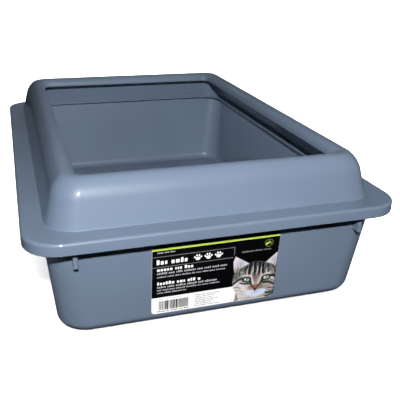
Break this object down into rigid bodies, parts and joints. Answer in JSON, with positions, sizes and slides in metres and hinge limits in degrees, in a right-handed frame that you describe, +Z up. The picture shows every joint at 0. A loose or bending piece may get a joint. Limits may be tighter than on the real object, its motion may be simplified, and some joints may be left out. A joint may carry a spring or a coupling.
{
  "type": "cat litter tray with rim frame",
  "caption": "Open rectangular cat litter tray with drafted walls and a lift-off raised frame that curls inward over its rim to keep litter in.",
  "frame": {"origin": "middle of the tray's underside, where it rests", "axes": "+X to the right seen from the labelled front, +Y from the front short side to the back, +Z up"},
  "size_m": [0.37, 0.528, 0.1554],
  "materials": {
    "pan_plastic": "smooth slate-blue moulded polypropylene",
    "frame_plastic": "smooth slate-blue moulded polypropylene",
    "label_print": "coated printed label"
  },
  "bodies": {
    "pan": {"litter_pan": "pan_plastic", "front_label": "label_print"},
    "frame": {"rim_frame": "frame_plastic"}
  },
  "joints": [
    {"name": "frame_lift", "type": "slide", "parent": "pan", "child": "frame", "axis": [0, 0, 1], "range_m": [0, 0.15]}
  ]
}
